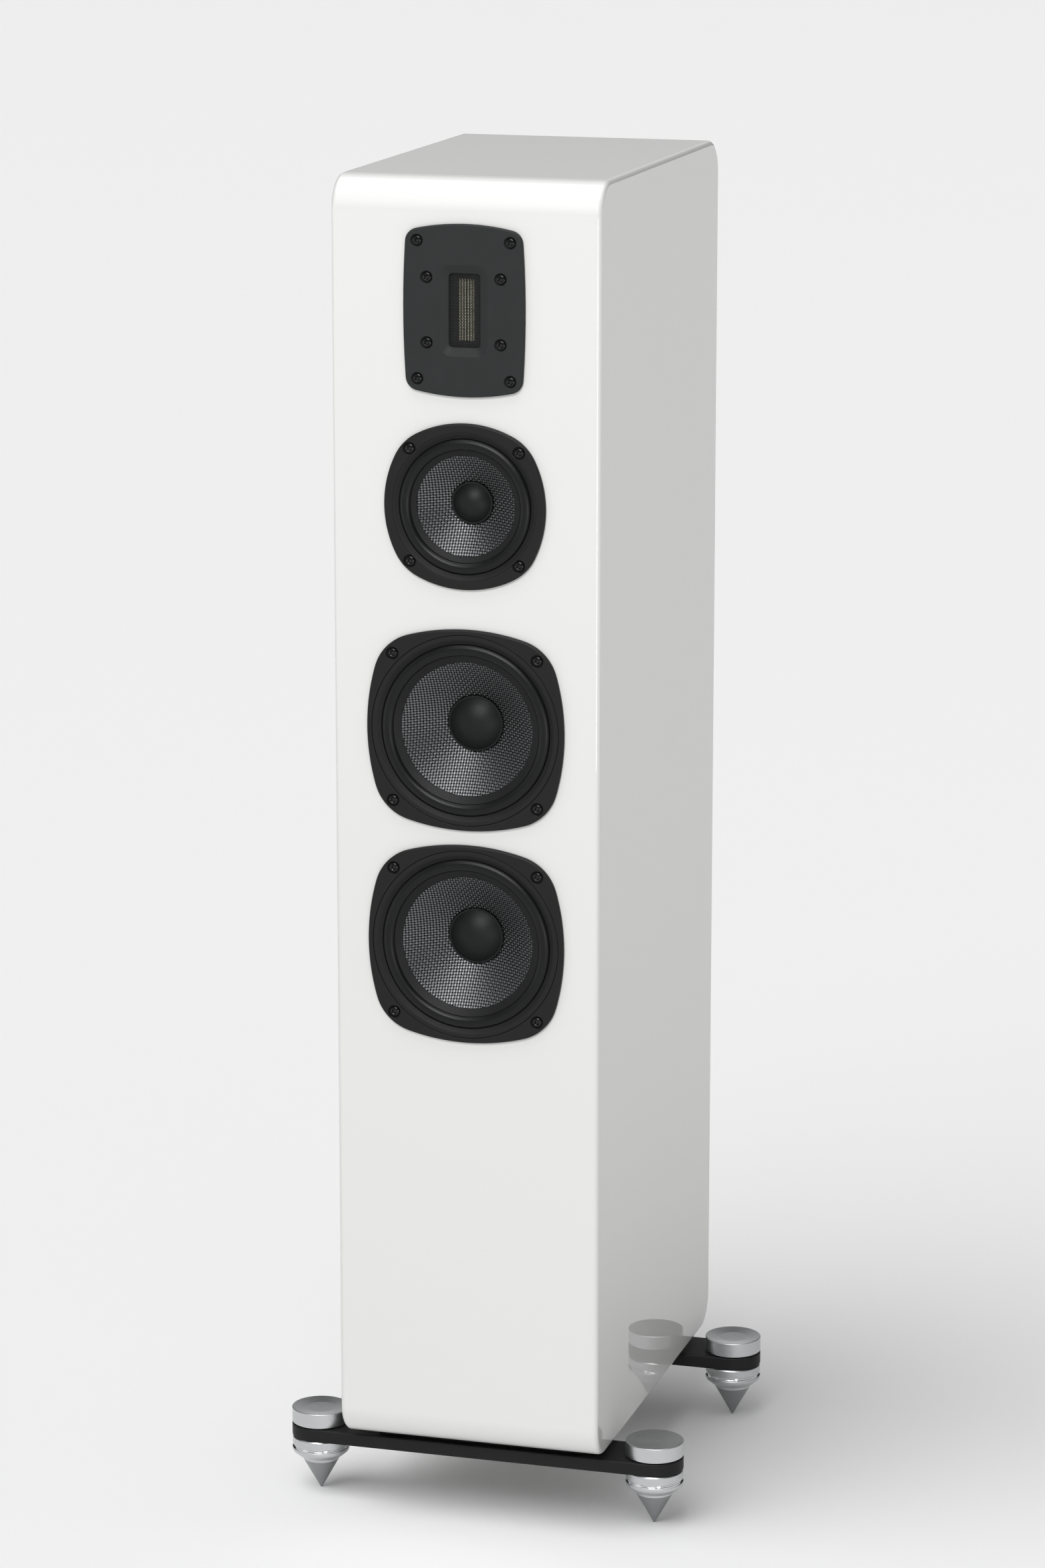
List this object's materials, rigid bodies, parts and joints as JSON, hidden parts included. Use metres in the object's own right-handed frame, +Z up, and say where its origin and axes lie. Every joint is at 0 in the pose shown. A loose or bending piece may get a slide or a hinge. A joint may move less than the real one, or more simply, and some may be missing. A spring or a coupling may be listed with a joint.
{
  "type": "floorstanding speaker",
  "caption": "Slim white floorstanding loudspeaker with a ribbon tweeter above round woven cone drivers, on outrigger bars with adjustable spikes.",
  "frame": {"origin": "on the floor under the middle of the cabinet, which is the bottom centre of the bounding box", "axes": "+Z up, +X to the right of someone facing the front, +Y towards the back; the drivers face -Y"},
  "size_m": [0.307, 0.347, 1.008],
  "materials": {
    "white_lacquer": "fibreboard in high-gloss white lacquer",
    "bare_board": "raw fibreboard",
    "charcoal_plate": "satin charcoal paint on cast metal",
    "black_plate": "satin black paint on cast metal",
    "black_mesh": "fine black wire mesh",
    "ribbon_foil": "pleated foil, faint gold tint",
    "magnet_steel": "zinc-plated steel and ferrite",
    "black_plastic": "moulded, fine texture",
    "diaphragm_plastic": "flat stiff panel",
    "black_rubber": "soft sheen",
    "cap_rubber": "matte",
    "woven_fibre": "black fabric with a silver-grey weave",
    "spider_cloth": "impregnated cloth",
    "copper_wire": "enamelled copper",
    "gold_plate": "gold-plated brass",
    "satin_aluminium": "turned and satin polished",
    "black_powder_coat": "fine black powder coat",
    "circuit_board": "laminate"
  },
  "bodies": {
    "cabinet": {"cabinet_wrap": "white_lacquer", "crossover_board": "circuit_board", "crossover_inductor": "copper_wire", "mid_frame": "black_plate", "mid_motor": "magnet_steel", "mid_spider": "spider_cloth", "mid_surround": "black_rubber", "mid_trim_ring": "black_rubber", "outrigger_front": "black_powder_coat", "outrigger_rear": "black_powder_coat", "radiator_lower_frame": "black_plate", "radiator_lower_surround": "black_rubber", "radiator_upper_frame": "black_plate", "radiator_upper_surround": "black_rubber", "shelf_middle": "bare_board", "shelf_upper": "bare_board", "side_panel_left": "white_lacquer", "side_panel_right": "white_lacquer", "terminal_cup": "black_plastic", "terminal_link_left": "gold_plate", "terminal_link_right": "gold_plate", "tweeter_faceplate": "charcoal_plate", "tweeter_magnet_frame": "magnet_steel", "tweeter_mesh": "black_mesh", "tweeter_rear_cover": "black_plastic", "tweeter_ribbon": "ribbon_foil", "window_brace": "bare_board", "woofer_lower_frame": "black_plate", "woofer_lower_motor": "magnet_steel", "woofer_lower_spider": "spider_cloth", "woofer_lower_surround": "black_rubber", "woofer_lower_trim_ring": "black_rubber", "woofer_upper_frame": "black_plate", "woofer_upper_motor": "magnet_steel", "woofer_upper_spider": "spider_cloth", "woofer_upper_surround": "black_rubber", "woofer_upper_trim_ring": "black_rubber"},
    "mid_moving": {"mid_cone": "woven_fibre", "mid_dust_cap": "cap_rubber", "mid_voice_coil": "copper_wire"},
    "woofer_upper_moving": {"woofer_upper_cone": "woven_fibre", "woofer_upper_dust_cap": "cap_rubber", "woofer_upper_voice_coil": "copper_wire"},
    "woofer_lower_moving": {"woofer_lower_cone": "woven_fibre", "woofer_lower_dust_cap": "cap_rubber", "woofer_lower_voice_coil": "copper_wire"},
    "radiator_upper_moving": {"radiator_upper_diaphragm": "diaphragm_plastic"},
    "radiator_lower_moving": {"radiator_lower_diaphragm": "diaphragm_plastic"},
    "spike_front_left": {"foot_spike_front_left": "satin_aluminium"},
    "cap_front_left": {"foot_cap_front_left": "satin_aluminium"},
    "spike_front_right": {"foot_spike_front_right": "satin_aluminium"},
    "cap_front_right": {"foot_cap_front_right": "satin_aluminium"},
    "spike_rear_left": {"foot_spike_rear_left": "satin_aluminium"},
    "cap_rear_left": {"foot_cap_rear_left": "satin_aluminium"},
    "spike_rear_right": {"foot_spike_rear_right": "satin_aluminium"},
    "cap_rear_right": {"foot_cap_rear_right": "satin_aluminium"},
    "nut_left_upper": {"terminal_nut_left_upper": "gold_plate"},
    "nut_left_lower": {"terminal_nut_left_lower": "gold_plate"},
    "nut_right_upper": {"terminal_nut_right_upper": "gold_plate"},
    "nut_right_lower": {"terminal_nut_right_lower": "gold_plate"}
  },
  "joints": [
    {"name": "mid_cone_stroke", "type": "slide", "parent": "cabinet", "child": "mid_moving", "axis": [0, -1, 0], "range_m": [-0.002, 0.002], "stiffness_N_per_m": 3000, "deforming": ["mid_surround", "mid_spider"]},
    {"name": "woofer_upper_cone_stroke", "type": "slide", "parent": "cabinet", "child": "woofer_upper_moving", "axis": [0, -1, 0], "range_m": [-0.005, 0.005], "stiffness_N_per_m": 1500, "deforming": ["woofer_upper_surround", "woofer_upper_spider"]},
    {"name": "woofer_lower_cone_stroke", "type": "slide", "parent": "cabinet", "child": "woofer_lower_moving", "axis": [0, -1, 0], "range_m": [-0.005, 0.005], "stiffness_N_per_m": 1500, "deforming": ["woofer_lower_surround", "woofer_lower_spider"]},
    {"name": "radiator_upper_stroke", "type": "slide", "parent": "cabinet", "child": "radiator_upper_moving", "axis": [0, 1, 0], "range_m": [-0.006, 0.006], "stiffness_N_per_m": 1500, "deforming": ["radiator_upper_surround"]},
    {"name": "radiator_lower_stroke", "type": "slide", "parent": "cabinet", "child": "radiator_lower_moving", "axis": [0, 1, 0], "range_m": [-0.006, 0.006], "stiffness_N_per_m": 1500, "deforming": ["radiator_lower_surround"]},
    {"name": "spike_front_left_thread", "type": "slide", "parent": "cabinet", "child": "spike_front_left", "axis": [0, 0, -1], "range_m": [0, 0.006]},
    {"name": "cap_front_left_turn", "type": "hinge", "parent": "cabinet", "child": "cap_front_left", "pos_m": [-0.1317, -0.122, 0.06], "axis": [0, 0, 1], "continuous": true},
    {"name": "spike_front_right_thread", "type": "slide", "parent": "cabinet", "child": "spike_front_right", "axis": [0, 0, -1], "range_m": [0, 0.006]},
    {"name": "cap_front_right_turn", "type": "hinge", "parent": "cabinet", "child": "cap_front_right", "pos_m": [0.1317, -0.122, 0.06], "axis": [0, 0, 1], "continuous": true},
    {"name": "spike_rear_left_thread", "type": "slide", "parent": "cabinet", "child": "spike_rear_left", "axis": [0, 0, -1], "range_m": [0, 0.006]},
    {"name": "cap_rear_left_turn", "type": "hinge", "parent": "cabinet", "child": "cap_rear_left", "pos_m": [-0.1317, 0.122, 0.06], "axis": [0, 0, 1], "continuous": true},
    {"name": "spike_rear_right_thread", "type": "slide", "parent": "cabinet", "child": "spike_rear_right", "axis": [0, 0, -1], "range_m": [0, 0.006]},
    {"name": "cap_rear_right_turn", "type": "hinge", "parent": "cabinet", "child": "cap_rear_right", "pos_m": [0.1317, 0.122, 0.06], "axis": [0, 0, 1], "continuous": true},
    {"name": "nut_left_upper_turn", "type": "hinge", "parent": "cabinet", "child": "nut_left_upper", "pos_m": [-0.014, 0.155, 0.164], "axis": [0, 1, 0], "continuous": true},
    {"name": "nut_left_lower_turn", "type": "hinge", "parent": "cabinet", "child": "nut_left_lower", "pos_m": [-0.014, 0.155, 0.136], "axis": [0, 1, 0], "continuous": true},
    {"name": "nut_right_upper_turn", "type": "hinge", "parent": "cabinet", "child": "nut_right_upper", "pos_m": [0.014, 0.155, 0.164], "axis": [0, 1, 0], "continuous": true},
    {"name": "nut_right_lower_turn", "type": "hinge", "parent": "cabinet", "child": "nut_right_lower", "pos_m": [0.014, 0.155, 0.136], "axis": [0, 1, 0], "continuous": true}
  ]
}
